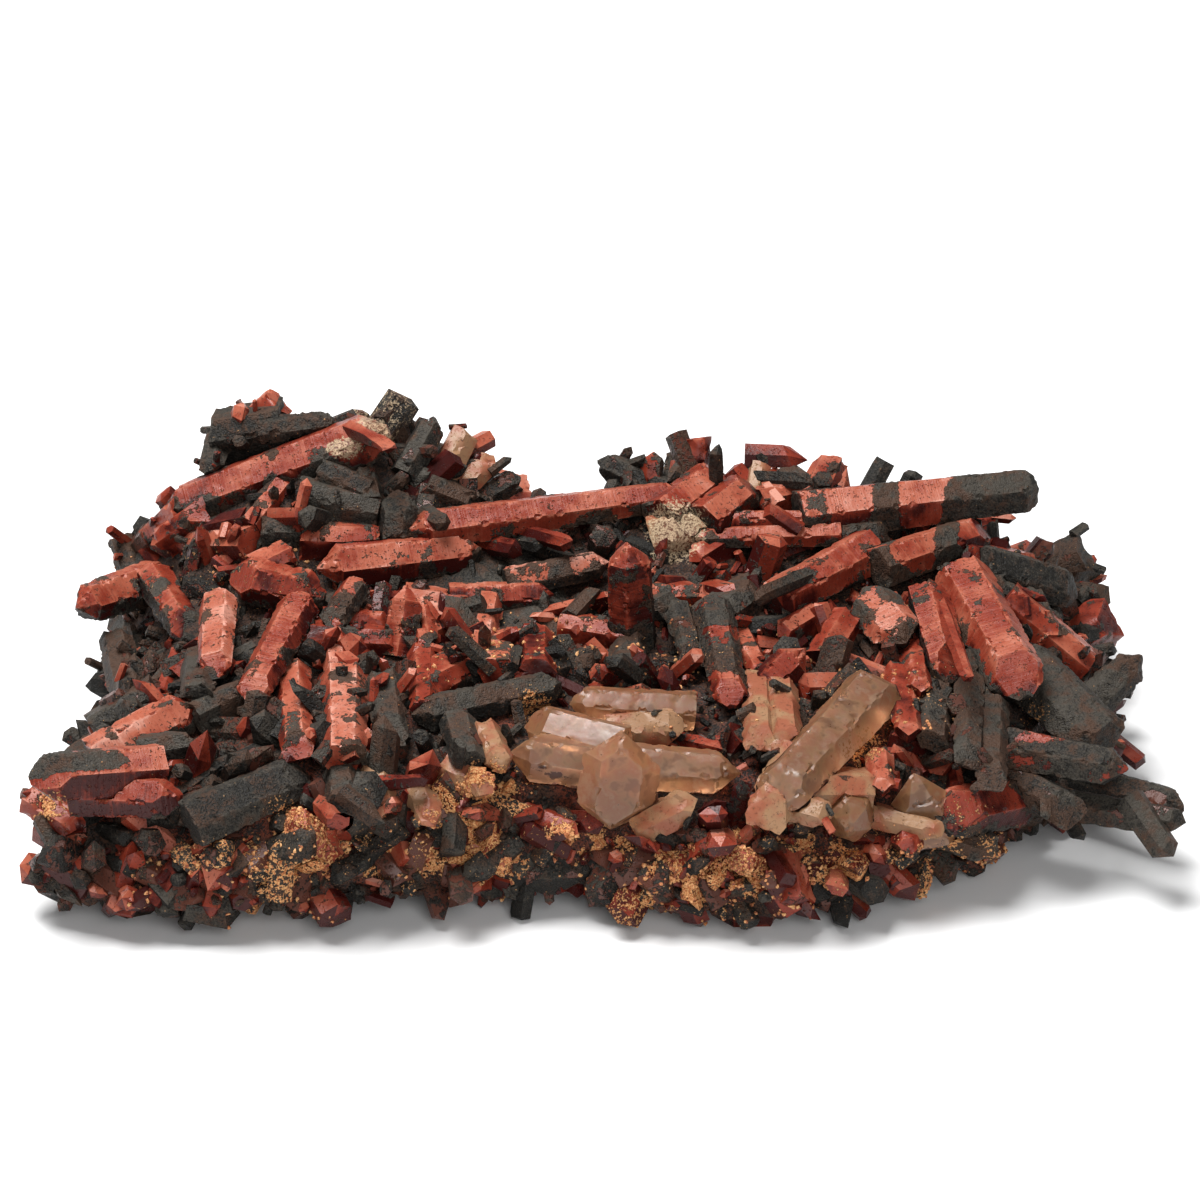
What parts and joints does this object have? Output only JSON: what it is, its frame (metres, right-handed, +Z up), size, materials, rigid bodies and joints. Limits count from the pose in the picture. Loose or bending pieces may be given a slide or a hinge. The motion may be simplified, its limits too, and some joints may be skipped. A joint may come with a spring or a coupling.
{
  "type": "red quartz cluster",
  "caption": "Plate of jumbled red quartz prisms on dark rock, with dark coated prisms between them and a smoky, see-through group at the front edge.",
  "frame": {"origin": "under the middle of the specimen's box, on the ground it rests on", "axes": "+X to the viewer's right along the plate's length, +Y away from the smoky front edge, +Z up"},
  "size_m": [0.2814, 0.1778, 0.0768],
  "materials": {
    "red": "satin",
    "patched": "satin",
    "coated": "matte",
    "smoky": "gloss",
    "rock": "matte"
  },
  "bodies": {
    "root": {"matrix": "rock", "coated_front_left_slab": "coated", "coated_front_long": "coated", "coated_right_shoulder": "coated", "coated_right_slab": "coated", "coated_right_spur": "coated", "coated_right_tail": "coated", "coated_skyline_speckled": "coated", "coated_standing_left": "coated", "patched_back_right_long": "patched", "patched_centre_hooked": "patched", "patched_centre_pink": "patched", "patched_centre_right": "patched", "patched_right_cross": "patched", "patched_right_tail": "patched", "patched_right_wedge": "patched", "red_back_blocks": "red", "red_back_left_long": "red", "red_centre_flat": "red", "red_centre_left_long": "red", "red_front_right_block": "red", "red_left_block": "red", "red_left_front": "red", "red_left_front_lower": "red", "red_left_leaning": "red", "red_left_point": "red", "red_left_tilted": "red", "red_left_upright": "red", "red_middle_long": "red", "red_orange_tip": "red", "red_peak_tip": "red", "red_pink_slab": "red", "red_right_large": "red", "red_right_pale_end": "red", "red_right_steep": "red", "red_salmon_sheaf": "red", "red_standing_centre": "red", "smoky_front_crystal": "smoky", "smoky_front_left_pair": "smoky", "smoky_front_right": "smoky", "smoky_front_top": "smoky", "smoky_hexagon_ball": "smoky", "smoky_long_pillar": "smoky", "smoky_pyramid_right": "smoky"}
  },
  "joints": []
}
